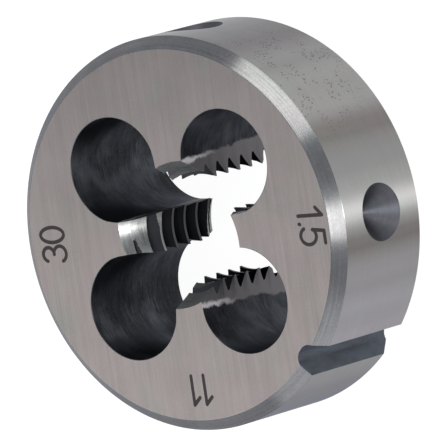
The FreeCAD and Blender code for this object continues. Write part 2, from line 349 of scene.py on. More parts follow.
def cone_radius(sizes, end, height):
    """Radius of an entry cone about its own axis, which shrinks evenly from the face inwards.

    Past full thread the cone cuts nothing, and there it is held at a radius clear of its own axis.
    """
    depth = sizes.thickness - height if end == "front" else height
    at_face = math.hypot(lead_of(sizes, end)[0] / 2, sizes.lead_relief)
    return np.maximum(at_face - cone_slope(sizes, end) * depth, 2 * sizes.lead_relief)


def lead_cut(sizes, end, off_land, height):
    """Radius of an entry cone about the die's axis, and how it changes with the angle and the height.

    The cone's own axis is set off sideways, to opposite sides at the two ends.
    """
    side = 1 if end == "front" else -1
    off = side * sizes.lead_relief
    cone = cone_radius(sizes, end, height)
    reach = np.sqrt(cone**2 - (off * np.cos(off_land)) ** 2)
    by_angle = off**2 * np.sin(off_land) * np.cos(off_land) / reach - off * np.cos(off_land)
    return reach - off * np.sin(off_land), by_angle, side * cone * cone_slope(sizes, end) / reach


def land_radii(sizes, turn, off_land, height):
    """The radii of the four cuts that shape a land: bore, thread, front lead and back lead."""
    return np.stack([
        np.full(off_land.shape, bore_radius(sizes)),
        thread_radius(sizes, turn + off_land, height),
        lead_cut(sizes, "front", off_land, height)[0],
        lead_cut(sizes, "back", off_land, height)[0],
    ])


def land_edge(sizes, radius):
    """Half the angle that a land spans at a radius, where the chip holes' circles cut it off."""
    reach = sizes.hole_circle / 2
    hole = sizes.hole_diameter / 2
    off_hole = np.arccos((reach**2 + radius**2 - hole**2) / (2 * reach * radius))
    return LAND_STEP / 2 - off_hole


def land_rows(sizes, turn):
    """Starting heights of a land's rows, which follow the helix and meet every corner of the groove."""
    pitch = sizes.thread_pitch
    root = half_root(sizes)
    flank_end = root + thread_depth(sizes) * math.tan(FLANK_LEAN)
    flank = np.linspace(root, flank_end, 15)
    section = np.concatenate([[-pitch / 2], -flank[::-1], flank])
    beyond = 2
    first = sizes.groove_height + pitch * (turn / FULL_TURN - beyond)
    grooves = first + pitch * np.arange(math.ceil(sizes.thickness / pitch) + 2 * beyond)
    rows = (grooves[:, None] + section).ravel()
    spare = pitch / 8
    inside = rows[(rows > -spare) & (rows < sizes.thickness + spare)]
    return np.concatenate([[-spare], inside, [sizes.thickness + spare]])


def land_grid(sizes, turn):
    """Angle off the land's middle, height and radius of a land's points.

    The middle columns stand at fixed angles and the outer ones close up to the edges, where the
    radius and the edge's angle are found together by repeated substitution. A row climbs with the
    helix, held between the two faces.
    """
    fixed = math.radians(11)
    middle = np.linspace(-fixed, fixed, 15)
    closing = np.linspace(0, 1, 7)[1:]
    start = np.concatenate([np.full(len(closing), -fixed), middle, np.full(len(closing), fixed)])
    share = np.concatenate([-closing[::-1], np.zeros(len(middle)), closing])
    rows = land_rows(sizes, turn)[:, None]

    def cut_at(off_land):
        height = np.clip(rows + sizes.thread_pitch * off_land / FULL_TURN, 0, sizes.thickness)
        return height, land_radii(sizes, turn, off_land, height).max(axis=0)

    off_land = np.broadcast_to(start, (len(rows), len(start)))
    for _ in range(12):
        off_land = start + share * (land_edge(sizes, cut_at(off_land)[1]) - fixed)
    return off_land, *cut_at(off_land)


def land_patch(sizes, turn, off_land, height, radius):
    """The faces of a land.

    A cell belongs to the cut that reaches deepest at its middle, and takes its normals from that
    cut's formula, so that the edges between cuts stay crisp.
    """
    angle, high, wide = (corners_of(a[..., None])[..., 0] for a in (off_land, height, radius))
    middle, level = angle.mean(axis=1), high.mean(axis=1)
    deepest = land_radii(sizes, turn, middle, level).argmax(axis=0)
    place = groove_place(sizes, turn + middle, level)
    steep = np.where(np.abs(place) > half_root(sizes), np.sign(place), 0) / math.tan(FLANK_LEAN)
    nothing = np.zeros(angle.shape)
    climb = np.broadcast_to(steep[:, None], angle.shape)
    front = lead_cut(sizes, "front", angle, high)
    back = lead_cut(sizes, "back", angle, high)
    cut = np.broadcast_to(deepest[:, None], angle.shape)
    by_angle = np.choose(cut, [nothing, climb * sizes.thread_pitch / FULL_TURN, front[1], back[1]])
    by_height = np.choose(cut, [nothing, -climb, front[2], back[2]])
    return {
        "points": polar(wide, turn + angle, high),
        "normals": unit(swung(turn + angle, -1, by_angle / wide, by_height)),
        "grain": beside(bore_radius(sizes) * (turn + angle), high),
        "finish": np.array([THREAD_CREST, CUT_THREAD, GROUND_LEAD, GROUND_LEAD])[deepest],
    }


# The chip holes

def hole_points(sizes, turn, around, widening, height):
    """Points of a chip hole's wall; around is the angle about the hole, zero at its outermost line."""
    wide = sizes.hole_diameter / 2 + widening
    return polar(sizes.hole_circle / 2, turn, 0) + polar(wide, turn + around, height)


def hole_grid(sizes):
    """A chip hole's wall as angle about the hole, widening, height and lean of the normal.

    The wall is a cylinder. Its two mouths are broken by a quarter circle, which fades out towards
    the lands.
    """
    reach, fading = 124, 12
    around = np.radians(np.linspace(-reach, reach, 81))
    fade = np.clip((math.radians(reach) - np.abs(around)) / math.radians(fading), 0, 1)
    rounding = sizes.mouth_break * fade * fade * (3 - 2 * fade)
    lean = np.radians(np.linspace(90, 0, 5))[:, None]
    straight = np.linspace(0, 1, 37)[1:-1, None]
    flare = rounding * (1 - np.cos(lean))
    widening = np.concatenate([flare, 0 * straight * rounding, flare[::-1]])
    drop = rounding * (1 - np.sin(lean))
    high = sizes.thickness - drop
    low = drop[::-1]
    height = np.concatenate([high, high[-1] + (low[0] - high[-1]) * straight, low])
    leans = np.concatenate([lean, 0 * straight, -lean[::-1]])
    return np.broadcast_arrays(around, widening, height, leans)


def wall_normals(turn, around, lean):
    """Normals of the hole's wall: towards its axis, leaning outwards at the mouths."""
    return polar(-np.cos(lean), turn + around, np.sin(lean))


def wall_line(sizes, turn, points):
    """A line of points on a hole's wall, with their heights, normals and grain."""
    off = points - polar(sizes.hole_circle / 2, turn, 0)
    around = np.arctan2(off[:, 1], off[:, 0]) - turn
    around = (around + math.pi) % FULL_TURN - math.pi
    grain = beside(sizes.hole_diameter / 2 * around, points[:, 2])
    return points[:, 2], points, wall_normals(turn, around, 0), grain


def hole_patches(sizes, turn, edge_before, edge_after):
    """The wall of a chip hole, and the strips that close it up to the edges of its two lands."""
    around, widening, height, lean = hole_grid(sizes)
    points = hole_points(sizes, turn, around, widening, height)
    grain = beside(sizes.hole_diameter / 2 * around, height)
    wall = grid_patch(points, wall_normals(turn, around, lean), grain, CHIP_HOLE_WALL)
    strips = [
        strip_patch(wall_line(sizes, turn, one), wall_line(sizes, turn, other), CHIP_HOLE_WALL)
        for one, other in ((edge_before, points[::-1, 0]), (points[::-1, -1], edge_after))
    ]
    return [wall, *strips], points


# The notch and the outside of the ring

def notch_off(sizes):
    """How far the middle of the notch lies past the middle of its chip hole."""
    return LAND_STEP / 2 - sizes.notch_turn


def notch_bottom(sizes):
    """Radius of the notch's floor."""
    return sizes.outer_diameter / 2 - sizes.notch_depth


def notch_edge(sizes, radius):
    """Angle from the middle of the notch to where its flank, a leaning line, crosses a radius."""
    offset = notch_bottom(sizes) * math.sin(FLANK_LEAN) - sizes.notch_floor / 2 * math.cos(FLANK_LEAN)
    return FLANK_LEAN - np.arcsin(offset / radius)


def outline_levels(sizes):
    """The ring's outside from the front face to the back face, as radius, height, lean and finish.

    The outline turns from facing up to facing down over four corners of 45 degrees, each broken by
    an arc, with straight rows between them.
    """
    rim = sizes.outer_diameter / 2
    face = rim - sizes.edge_chamfer
    corners = [
        (face, sizes.thickness),
        (rim, sizes.thickness - sizes.edge_chamfer),
        (rim, sizes.edge_chamfer),
        (face, 0),
    ]
    arcs = []
    bend = 45
    for corner, (radius, height) in enumerate(corners):
        lean = 90 - bend * corner
        leans = np.radians(np.linspace(lean, lean - bend, 5))
        reach = sizes.edge_break / math.cos(math.radians(bend / 2))
        middle = math.radians(lean - bend / 2)
        across = radius - reach * math.cos(middle) + sizes.edge_break * np.cos(leans)
        up = height - reach * math.sin(middle) + sizes.edge_break * np.sin(leans)
        arcs.append(beside(across, up, leans))
    seat_top = sizes.thickness / 2 + SEAT_BLOCK_HEIGHT
    seat_foot = sizes.thickness / 2 - SEAT_BLOCK_HEIGHT
    rim_rows = np.concatenate([
        np.linspace(arcs[1][-1, 1], seat_top, 4)[1:-1],
        np.linspace(seat_top, seat_foot, 17),
        np.linspace(seat_foot, arcs[2][0, 1], 4)[1:-1],
    ])
    upper, lower = (np.linspace(arcs[top][-1], arcs[top + 1][0], 6)[1:-1] for top in (0, 2))
    levels = np.concatenate([arcs[0], upper, arcs[1], beside(rim, rim_rows, 0), arcs[2], lower, arcs[3]])
    flatness = np.abs(np.degrees((levels[1:, 2] + levels[:-1, 2]) / 2))
    finish = np.where(flatness < bend / 2, GROUND_RIM, TURNED_EDGE)
    return levels, finish


def outline_columns(sizes, radius):
    """Angles of the outside's columns at one radius, from one flank of the notch round to the other."""
    edge = notch_edge(sizes, radius)
    off = notch_off(sizes)
    seats = LAND_STEP / 2 + LAND_STEP * np.arange(LANDS)
    seat_sides = beside(seats - SEAT_BLOCK_ANGLE, seats + SEAT_BLOCK_ANGLE).ravel()
    knots = np.concatenate([[off + edge], seat_sides, [off + FULL_TURN - edge]])
    counts = [NOTCH_STEPS, *[SEAT_STEPS, BETWEEN_STEPS] * (LANDS - 1), SEAT_STEPS, NOTCH_STEPS]
    starts = running(counts)
    return np.interp(np.arange(starts[-1] + 1), starts, knots), starts


def outside_grid(sizes):
    """Points, normals and grain of the ring's outside: the outline carried round the axis."""
    levels, finish = outline_levels(sizes)
    angles = np.stack([outline_columns(sizes, radius)[0] for radius in levels[:, 0]])
    points = polar(levels[:, :1], angles + START, levels[:, 1:2])
    lean = levels[:, 2:3]
    normals = polar(np.cos(lean), angles + START, np.sin(lean))
    grain = beside(sizes.outer_diameter / 2 * angles, travelled(levels[:, :2])[:, None])
    return levels, angles, points, normals, grain, finish


def seat_mouth(sizes, around):
    """How far out a seat's cone reaches along its own axis, where it runs out through the rim."""
    rim = sizes.outer_diameter / 2
    tip = rim - sizes.seat_diameter / 2
    bent = 1 + np.cos(around) ** 2
    return (np.sqrt(tip**2 - bent * (tip**2 - rim**2)) - tip) / bent


def once_round(grid):
    """The values along a grid's border, from its first corner back to it."""
    return np.concatenate([grid[0], grid[1:, -1], grid[-1, -2::-1], grid[-2::-1, 0]])


def seat_patches(sizes, angles, levels, grain, seat_angle):
    """The rim around one seat, from the mouth's curve out to a block of the rim, and the seat's cone.

    Both are grids round the seat's axis. The columns point at the block's border points; the rim's
    rows run evenly from the mouth to the border, and the cone's rows from the mouth to the tip.
    """
    rim = sizes.outer_diameter / 2
    tip = rim - sizes.seat_diameter / 2
    middle = sizes.thickness / 2
    border = once_round(beside(angles, levels))
    border_grain = once_round(grain)
    around = np.arctan2(border[:, 1] - middle, rim * (border[:, 0] - seat_angle))
    reach = seat_mouth(sizes, around)
    aside, up, out = reach * np.cos(around), reach * np.sin(around), tip + reach
    mouth = beside(seat_angle + np.arctan2(aside, out), middle + up)
    share = np.linspace(0, 1, 7)[:, None, None]
    places = mouth + share * (border - mouth)
    points = polar(rim, places[..., 0] + START, places[..., 1])
    normals = polar(1, places[..., 0] + START, 0)
    level_grain = border_grain[0, 1] + border[0, 1] - places[..., 1]
    ring = grid_patch(points, normals, beside(rim * places[..., 0], level_grain), GROUND_RIM)
    share = np.linspace(1, 0, 9)[:, None]
    turn = seat_angle + START
    cone = swung(turn, tip + share * reach, share * aside, middle + share * up)
    cone[0] = points[0]
    lean = unit(swung(turn, 1, -np.cos(around), -np.sin(around)))
    # the turning marks keep their true length halfway up the cone
    cone_grain = beside(sizes.seat_diameter / 4 * around, share * reach)
    return [ring, grid_patch(cone, np.broadcast_to(lean, cone.shape), cone_grain, SCREW_SEAT)]


def outside_patches(sizes):
    """The outside of the ring with its four screw seats, and its outline, angles and points."""
    levels, angles, points, normals, grain, finish = outside_grid(sizes)
    starts = outline_columns(sizes, sizes.outer_diameter / 2)[1]
    off_middle = np.abs(levels[:, 1] - sizes.thickness / 2)
    rows = np.flatnonzero(off_middle < SEAT_BLOCK_HEIGHT + MICRON)
    first, last = rows[0], rows[-1]
    cells = np.ones((len(levels) - 1, angles.shape[1] - 1), bool)
    patches = []
    heights = np.broadcast_to(levels[:, 1:2], angles.shape)
    for seat in range(LANDS):
        left, right = starts[2 * seat + 1], starts[2 * seat + 2]
        cells[first:last, left:right] = False
        block = (slice(first, last + 1), slice(left, right + 1))
        seat_angle = LAND_STEP / 2 + LAND_STEP * seat
        patches += seat_patches(sizes, angles[block], heights[block], grain[block], seat_angle)
    whole = grid_patch(points, normals, grain, np.repeat(finish, angles.shape[1] - 1))
    patches.append({key: values[cells.ravel()] for key, values in whole.items()})
    return patches, levels, angles, points


def notch_arc(sizes):
    """The arc of 60 degrees from a flank of the notch to its floor, as places and normals."""
    corner = sizes.notch_corner
    arc = np.radians(np.linspace(120, 180, 13))
    out = notch_bottom(sizes) + corner + corner * np.cos(arc)
    across = sizes.notch_floor / 2 - corner * math.tan(FLANK_LEAN) + corner * np.sin(arc)
    return beside(out, across), -beside(np.cos(arc), np.sin(arc))


def both_sides(half, middle):
    """Half of the notch's section, the middle of its floor, and the other half as its mirror image."""
    middle = np.broadcast_to(middle, (*half.shape[:-2], 1, 2))
    return np.concatenate([half, middle, half[..., ::-1, :] * [1, -1]], axis=-2)


def notch_patch(sizes, levels):
    """The walls of the notch: its section carried along the thickness, out to the ring's outline."""
    arc, arc_normals = notch_arc(sizes)
    radius = levels[:, 0]
    edge = notch_edge(sizes, radius)
    mouth = beside(radius * np.cos(edge), radius * np.sin(edge))
    share = np.linspace(0, 1, 7)[:-1, None, None]
    flank = (mouth + share * (arc[0] - mouth)).transpose(1, 0, 2)
    half = np.concatenate([flank, np.broadcast_to(arc, (len(levels), *arc.shape))], axis=1)
    half_normals = np.concatenate([np.broadcast_to(arc_normals[0], (len(share), 2)), arc_normals])
    places = both_sides(half, [notch_bottom(sizes), 0])
    normals = both_sides(half_normals, [1, 0])
    turn = START + notch_off(sizes)
    height = levels[:, 1:2]
    points = swung(turn, places[..., 0], places[..., 1], height)
    outward = np.broadcast_to(swung(turn, normals[:, 0], normals[:, 1], 0), points.shape)
    grain = beside(height, travelled(places[0]))
    return grid_patch(points, outward, grain, MILLED_NOTCH), places, points


# The two faces

def face_patches(inner, inner_angles, outer, outer_angles, height, up):
    """A flat face between the holes' and lands' edges and the ring's outline.

    The inner edge runs straight out to a middle ring, and a zipper joins that ring to the outline.
    Between its edges the face lies a little low, which leaves room for the etched numbers.
    """
    level = height - up * DISH_DEPTH
    ring = polar(MIDDLE_RING, inner_angles + START, level)
    border = outer * (1 - FACE_BORDER) * (1 - UP) + level * UP

    def dressed(points):
        return points, np.broadcast_to(up * UP, points.shape), points[..., [1, 0]]

    return [
        grid_patch(*dressed(np.stack([inner, ring])), GROUND_FACE),
        strip_patch((inner_angles, *dressed(ring)), (outer_angles, *dressed(border)), GROUND_FACE),
        grid_patch(*dressed(np.stack([border, outer])), GROUND_FACE),
    ]


def inner_edge(lands, holes, row):
    """The inner edge of one face, from the middle of the notch's hole once round, with ring angles."""
    points, angles = [], []
    for land in range(LANDS):
        wall = holes[(land - 1) % LANDS][row]
        land_points = lands[land][-1 if row == 0 else 0]
        points += [wall, land_points]
        angles += [
            LAND_STEP * land + HOLE_SHARE * np.linspace(-1, 1, len(wall)),
            LAND_STEP * land + LAND_STEP / 2 + LAND_SHARE * np.linspace(-1, 1, len(land_points)),
        ]
    points, angles = np.concatenate(points), np.concatenate(angles)
    middle = len(holes[-1][row]) // 2
    return (
        np.concatenate([points[middle:], points[: middle + 1]]),
        np.concatenate([angles[middle:], angles[: middle + 1] + FULL_TURN]),
    )


def outer_edge(sizes, notch_places, notch_points, outside_points, outside_angles, row):
    """The outline of one face, from the middle of the notch once round, with its angles."""
    middle = notch_points.shape[1] // 2
    notch_angles = notch_off(sizes) + np.arctan2(notch_places[row, :, 1], notch_places[row, :, 0])
    points = [notch_points[row, middle:0:-1], outside_points[row], notch_points[row, -2 : middle - 1 : -1]]
    angles = [
        notch_angles[middle:0:-1],
        outside_angles[row],
        FULL_TURN + notch_angles[-2 : middle - 1 : -1],
    ]
    return np.concatenate(points), np.concatenate(angles)


def die_patches(sizes):
    """All the surfaces of the die, closed against one another."""
    patches, lands, holes = [], [], []
    for land in range(LANDS):
        turn = LAND_STEP * land
        off_land, height, radius = land_grid(sizes, turn)
        patches.append(land_patch(sizes, turn, off_land, height, radius))
        lands.append(polar(radius, turn + off_land, height))
    for hole in range(LANDS):
        turn = LAND_STEP * (hole + 0.5)
        after = lands[(hole + 1) % LANDS]
        made, wall = hole_patches(sizes, turn, lands[hole][:, -1], after[:, 0])
        patches += made
        holes.append(wall)
    outside, levels, angles, outside_points = outside_patches(sizes)
    notch, notch_places, notch_points = notch_patch(sizes, levels)
    patches += [*outside, notch]
    for row, height, up in ((0, sizes.thickness, 1), (-1, 0.0, -1)):
        inner = inner_edge(lands, holes, row)
        outer = outer_edge(sizes, notch_places, notch_points, outside_points, angles, row)
        patches += face_patches(*inner, *outer, height, up)
    return patches


# The etched numbers: pen strokes in a cell one high, each a round-ended ribbon

def pen_line(*ends):
    """A straight stroke between two points."""
    return np.linspace(ends[0], ends[1], 8)


def pen_arc(middle, reach, start, end):
    """A stroke along part of an ellipse, between two angles in degrees."""
    angle = np.radians(np.linspace(start, end, 40))
    return np.array(middle) + beside(reach[0] * np.cos(angle), reach[1] * np.sin(angle))


GLYPHS = {
    "0": (0.66, [
        pen_arc((0.31, 0.5), (0.26, 0.5), 90, 270),
        pen_arc((0.31, 0.5), (0.26, 0.5), -90, 90),
    ]),
    "1": (0.52, [pen_line((0.10, 0.76), (0.36, 1.0)), pen_line((0.36, 1.0), (0.36, 0.0))]),
    "3": (0.66, [
        pen_arc((0.30, 0.76), (0.24, 0.24), 160, -90),
        pen_arc((0.30, 0.265), (0.27, 0.265), 90, -160),
    ]),
    "5": (0.66, [
        pen_line((0.54, 1.0), (0.12, 1.0)),
        pen_line((0.12, 1.0), (0.07, 0.52)),
        pen_arc((0.28, 0.325), (0.29, 0.325), 137, -150),
    ]),
    ".": (0.26, [pen_line((0.12, 0.0), (0.125, 0.02))]),
}


def ribbon(path, half_width):
    """Places across a stroke: straight to both sides of its path, with round ends.

    The ends add half a circle each, along which the ribbon narrows as the cosine.
    """
    along = unit(np.gradient(path, axis=0))
    cap = np.radians(np.linspace(90, 0, 6))[:-1]
    reach = half_width * np.sin(cap)[:, None]
    path = np.concatenate([path[0] - along[0] * reach, path, path[-1] + along[-1] * reach[::-1]])
    narrowing = np.concatenate([np.cos(cap), np.ones(len(along)), np.cos(cap)[::-1]])
    along = np.concatenate([[along[0]] * len(cap), along, [along[-1]] * len(cap)])
    side = beside(-along[:, 1], along[:, 0])
    across = np.array([-1.0, -0.9, 0.9, 1.0])
    return path[:, None] + side[:, None] * (half_width * narrowing[:, None] * across)[..., None]


def number_patches(sizes, text, turn, foot_radius):
    """The strokes of one number, centred on an angle, with its top pointing outwards."""
    scale = sizes.number_height
    half_width = sizes.number_stroke / 2
    total = sum(GLYPHS[sign][0] for sign in text)
    pen, patches = -total / 2, []
    for sign in text:
        for order, stroke in enumerate(GLYPHS[sign][1]):
            path = (stroke + np.array([pen, 0])) * scale
            places = ribbon(path, half_width)
            # each stroke lies a little lower than the one before it, and its sides reach into the face
            top = sizes.thickness - (2 + order) * MICRON
            foot = top - 12 * MICRON
            outward = foot_radius + places[..., 1]
            points = swung(turn, outward, -places[..., 0], [foot, top, top, foot])
            normals = np.broadcast_to(UP, points.shape)
            patches.append(grid_patch(points, normals, points[..., [1, 0]], 0))
        pen += GLYPHS[sign][0]
    return patches


# Materials

def wire(tree, target, sockets):
    """Give a node's sockets their values, or link them where the value is another node's output."""
    for name, value in sockets.items():
        if isinstance(value, bpy.types.NodeSocket):
            tree.links.new(value, target.inputs[name])
        else:
            target.inputs[name].default_value = value


def node(tree, kind, sockets=None, **settings):
    """Add a node, set its properties and wire its sockets."""
    added = tree.nodes.new(kind)
    for key, value in settings.items():
        setattr(added, key, value)
    wire(tree, added, sockets or {})
    return added


def number_of(tree, operation, first, second=0.0):
    """The result of a Math node."""
    return node(tree, "ShaderNodeMath", {0: first, 1: second}, operation=operation).outputs[0]


def inverse(tree, value):
    """One less a value."""
    return number_of(tree, "SUBTRACT", 1.0, value)


def spread(tree, value, low, high):
    """Map a value from 0..1 to low..high."""
    sockets = {"Value": value, "To Min": low, "To Max": high}
    return node(tree, "ShaderNodeMapRange", sockets).outputs["Result"]


def ramp(tree, value, low, high):
    """Zero below one value, one above another, and even between them."""
    sockets = {"Value": value, "From Min": low, "From Max": high}
    return node(tree, "ShaderNodeMapRange", sockets).outputs["Result"]


def noise(tree, coordinates, scale, detail, roughness=0.5):
    """A noise pattern between 0 and 1; scale is in patches per metre."""
    sockets = {"Vector": coordinates, "Scale": scale, "Detail": detail, "Roughness": roughness}
    return node(tree, "ShaderNodeTexNoise", sockets).outputs["Fac"]


def object_place(tree):
    """The place on the die, in metres."""
    return node(tree, "ShaderNodeTexCoord").outputs["Object"]


def grain_map(tree):
    """The map of the marks' direction, along and across them, in metres."""
    return node(tree, "ShaderNodeUVMap", uv_map="grain").outputs["UV"]


def grain_place(tree):
    """The two coordinates of the grain map."""
    split = node(tree, "ShaderNodeSeparateXYZ", {"Vector": grain_map(tree)})
    return split.outputs["X"], split.outputs["Y"]


def streaks(tree, along, across, detail=3.0):
    """Fine marks that run along the grain map, given their usual length and width in metres."""
    sockets = {"Vector": grain_map(tree), "Scale": (1 / along, 1 / across, 1)}
    drawn_out = node(tree, "ShaderNodeMapping", sockets).outputs["Vector"]
    return noise(tree, drawn_out, 1.0, detail, 0.6)


def tinted(tree, amount, dark, light):
    """Mix two colours by an amount between 0 and 1."""
    sockets = {"Factor": amount, "A": (*dark, 1), "B": (*light, 1)}
    return node(tree, "ShaderNodeMix", sockets, data_type="RGBA").outputs["Result"]


def shade(base, factor):
    """A colour made lighter or darker."""
    return tuple(min(1.0, channel * factor) for channel in base)


# How each finish looks, in the order of the material slots: its roughness and how much that varies, how
# far its reflections are drawn out, the length and width of its marks in metres, how strongly its colour
# varies, how much of that comes from stains, and how high its marks stand in microns.
STEEL_LOOKS = {
    "ground_face": {
        "rough": 0.34, "rough_vary": 0.06, "stretch": 0.75, "mark_length": 0.006, "mark_width": 0.00012,
        "contrast": 0.16, "clouds": 0.45, "bump": 0.6,
    },
    "turned_edge": {
        "rough": 0.24, "rough_vary": 0.08, "stretch": 0.75, "mark_length": 0.009, "mark_width": 0.00005,
        "contrast": 0.46, "clouds": 0.45, "bump": 0.7,
    },
    "ground_rim": {
        "rough": 0.31, "rough_vary": 0.04, "stretch": 0.98, "mark_length": 0.005, "mark_width": 0.00009,
        "contrast": 0.12, "clouds": 0.45, "bump": 0.4,
    },
    "chip_hole_wall": {
        "rough": 0.40, "rough_vary": 0.10, "stretch": 0.40, "mark_length": 0.0016, "mark_width": 0.00012,
        "contrast": 0.90, "clouds": 0.55, "bump": 1.2,
    },
    "ground_lead": {
        "rough": 0.36, "rough_vary": 0.12, "stretch": 0.80, "mark_length": 0.0008, "mark_width": 0.00014,
        "contrast": 0.65, "clouds": 0.40, "bump": 0.8,
    },
    "cut_thread": {
        "rough": 0.33, "rough_vary": 0.08, "stretch": 0.40, "mark_length": 0.003, "mark_width": 0.00010,
        "contrast": 0.40, "clouds": 0.30, "bump": 0.8,
    },
    "thread_crest": {
        "rough": 0.30, "rough_vary": 0.08, "stretch": 0.60, "mark_length": 0.002, "mark_width": 0.00006,
        "contrast": 0.50, "clouds": 0.30, "bump": 0.5,
    },
    "screw_seat": {
        "rough": 0.46, "rough_vary": 0.10, "stretch": 0.30, "mark_length": 0.0015, "mark_width": 0.00016,
        "contrast": 0.24, "clouds": 0.60, "bump": 0.8,
    },
    "milled_notch": {
        "rough": 0.50, "rough_vary": 0.08, "stretch": 0.40, "mark_length": 0.0015, "mark_width": 0.00012,
        "contrast": 0.38, "clouds": 0.40, "bump": 1.0,
    },
}


def blended(tree, one, other, share):
    """A sum of two patterns, the second with this share."""
    first = number_of(tree, "MULTIPLY", one, 1 - share)
    second = number_of(tree, "MULTIPLY", other, share)
    return number_of(tree, "ADD", first, second)


def relaid(tree, factor, tone, blend="MIX"):
    """Lay a tone over the shader's base colour by a factor between 0 and 1."""
    base = tree.nodes["Principled BSDF"].inputs["Base Color"]
    sockets = {"Factor": factor, "A": base.links[0].from_socket, "B": (*tone, 1)}
    mix = node(tree, "ShaderNodeMix", sockets, data_type="RGBA", blend_type=blend)
    tree.links.new(mix.outputs["Result"], base)


def raised(tree, pattern, distance):
    """Raise the shader's surface by a pattern, this far at most."""
    bump = node(tree, "ShaderNodeBump", {"Strength": 1.0, "Distance": distance, "Height": pattern})
    tree.links.new(bump.outputs["Normal"], tree.nodes["Principled BSDF"].inputs["Normal"])


def fresh_material(name):
    """A new material, its node tree and its shader."""
    material = bpy.data.materials.new(name)
    material.use_nodes = True
    return material, material.node_tree, material.node_tree.nodes["Principled BSDF"]


def steel_material(
    name, base, rough, rough_vary, stretch, mark_length, mark_width, contrast, clouds, bump
):
    """Bare steel with marks along its grain, soft stains, and reflections drawn out across the marks."""
    material, tree, shader = fresh_material(name)
    tangent = node(tree, "ShaderNodeTangent", direction_type="UV_MAP", uv_map="grain")
    places = object_place(tree)
    fine = streaks(tree, mark_length, mark_width)
    coarse = streaks(tree, mark_length * 3, mark_width * 5, 2.0)
    marks = blended(tree, fine, coarse, 0.4)
    stains = blended(tree, noise(tree, places, 260.0, 5.0, 0.6), noise(tree, places, 6000.0, 2.0), 0.35)
    amount = ramp(tree, blended(tree, marks, stains, clouds), 0.32, 0.68)
    wire(tree, shader, {
        "Base Color": tinted(tree, amount, shade(base, 1 - contrast), shade(base, 1 + contrast)),
        "Metallic": 1.0,
        "Roughness": spread(tree, marks, rough + rough_vary, rough - rough_vary),
        # the film on the steel keeps grazing reflections dim
        "Specular Tint": (0.58, 0.58, 0.62, 1),
        "Anisotropic": stretch,
        "Anisotropic Rotation": 0.25,
        "Tangent": tangent.outputs["Tangent"],
    })
    relaid(tree, ramp(tree, noise(tree, places, 420.0, 3.0), 0.45, 0.75), (0.94, 1.02, 0.98), "MULTIPLY")
    raised(tree, marks, bump * MICRON)
    return material


def add_rim_reflections_and_pits(tree, base):
    """Painted reflections across the rim, and a patch of pits: soft dark bands at random places, partly random
    tone and partly painted reflection, and painted highlights and painted shade in fixed bands.
    """
    # painted reflection, partly random tone: soft darker bands around the rim in place of blurred reflections
    painted_sheen_bands = streaks(tree, 4.5 * MILLIMETRE, 1.0, 2.0)
    relaid(tree, ramp(tree, painted_sheen_bands, 0.42, 0.68), shade(base, 0.84))
    around = grain_place(tree)[0]
    # painted highlights and painted shade: the fixed light and dark bands of reflection
    for band in RIM_PAINTED_REFLECTIONS:
        middle = (math.radians(band["turn"]) - START) * BOX_HIGH.x
        reach = math.radians(band["half_width"]) * BOX_HIGH.x
        off = number_of(tree, "ABSOLUTE", number_of(tree, "SUBTRACT", around, middle))
        inside = inverse(tree, ramp(tree, off, 0.2 * reach, reach))
        relaid(tree, inside, band["tone"], "MULTIPLY")
    places = object_place(tree)
    cells = node(tree, "ShaderNodeTexVoronoi", {"Vector": places, "Scale": 4000.0})
    away = node(tree, "ShaderNodeVectorMath", {0: places, 1: PIT_PATCH}, operation="DISTANCE")
    near = inverse(tree, ramp(tree, away.outputs["Value"], *PIT_REACH))
    sparse = ramp(tree, noise(tree, places, 800.0, 3.0), 0.49, 0.55)
    pits = inverse(tree, ramp(tree, cells.outputs["Distance"], 0.20, 0.36))
    chosen = number_of(tree, "MULTIPLY", number_of(tree, "MULTIPLY", pits, sparse), near)
    relaid(tree, chosen, shade(base, 0.30))


def add_wall_patches_and_painted_light(tree, base, rake_reflection):
    """Blue-grey patches on the wall, and a painted reflection: a lighter strip beside the teeth with an uneven
    border.

    The strip begins a little over 9 mm along the wall from the hole's outermost line, and a painted highlight
    along its border brightens towards the front face.
    """
    around, height = grain_place(tree)
    places = object_place(tree)
    scratches = streaks(tree, 1.5 * MILLIMETRE, 0.1 * MILLIMETRE)
    patches = blended(tree, noise(tree, places, 330.0, 3.0), scratches, 0.35)
    relaid(tree, ramp(tree, patches, 0.48, 0.72), shade(base, 3.4))
    wander = number_of(tree, "MULTIPLY", noise(tree, places, 900.0, 4.0, 0.6), 1.1 * MILLIMETRE)
    wander = number_of(tree, "SUBTRACT", wander, number_of(tree, "MULTIPLY", height, 0.06))
    reach = number_of(tree, "ADD", number_of(tree, "ABSOLUTE", around), wander)
    edge, soft, half_border = 9.1 * MILLIMETRE, 0.1 * MILLIMETRE, 0.15 * MILLIMETRE

    def past(place):
        return ramp(tree, reach, place - soft, place + soft)

    # painted reflection: the lighter strip beside the teeth
    relaid(tree, past(edge), rake_reflection)
    # painted highlight along the strip's border, brighter towards the front face
    border = number_of(tree, "SUBTRACT", past(edge - half_border), past(edge + half_border))
    border_highlight = number_of(tree, "MULTIPLY", border, ramp(tree, height, 6.5 * MILLIMETRE, 9.5 * MILLIMETRE))
    relaid(tree, border_highlight, shade(rake_reflection, 5.0))


def add_painted_entry_light(tree, tone):
    """Painted light: the thread's first turns lie open to the front, and their colour is made paler towards
    the front face than the rest.
    """
    height = grain_place(tree)[1]
    relaid(tree, ramp(tree, height, 6.2 * MILLIMETRE, 8.6 * MILLIMETRE), tone)


def etched_material(base):
    """The dark matt oxide that a marking laser leaves, a little uneven."""
    material, tree, shader = fresh_material("etched_number")
    mottle = noise(tree, object_place(tree), 9000.0, 3.0)
    uneven = tinted(tree, mottle, shade(base, 0.6), shade(base, 1.5))
    wire(tree, shader, {"Base Color": uneven, "Roughness": 0.6, "Specular IOR Level": 0.2})
    raised(tree, mottle, 3 * MICRON)
    return material


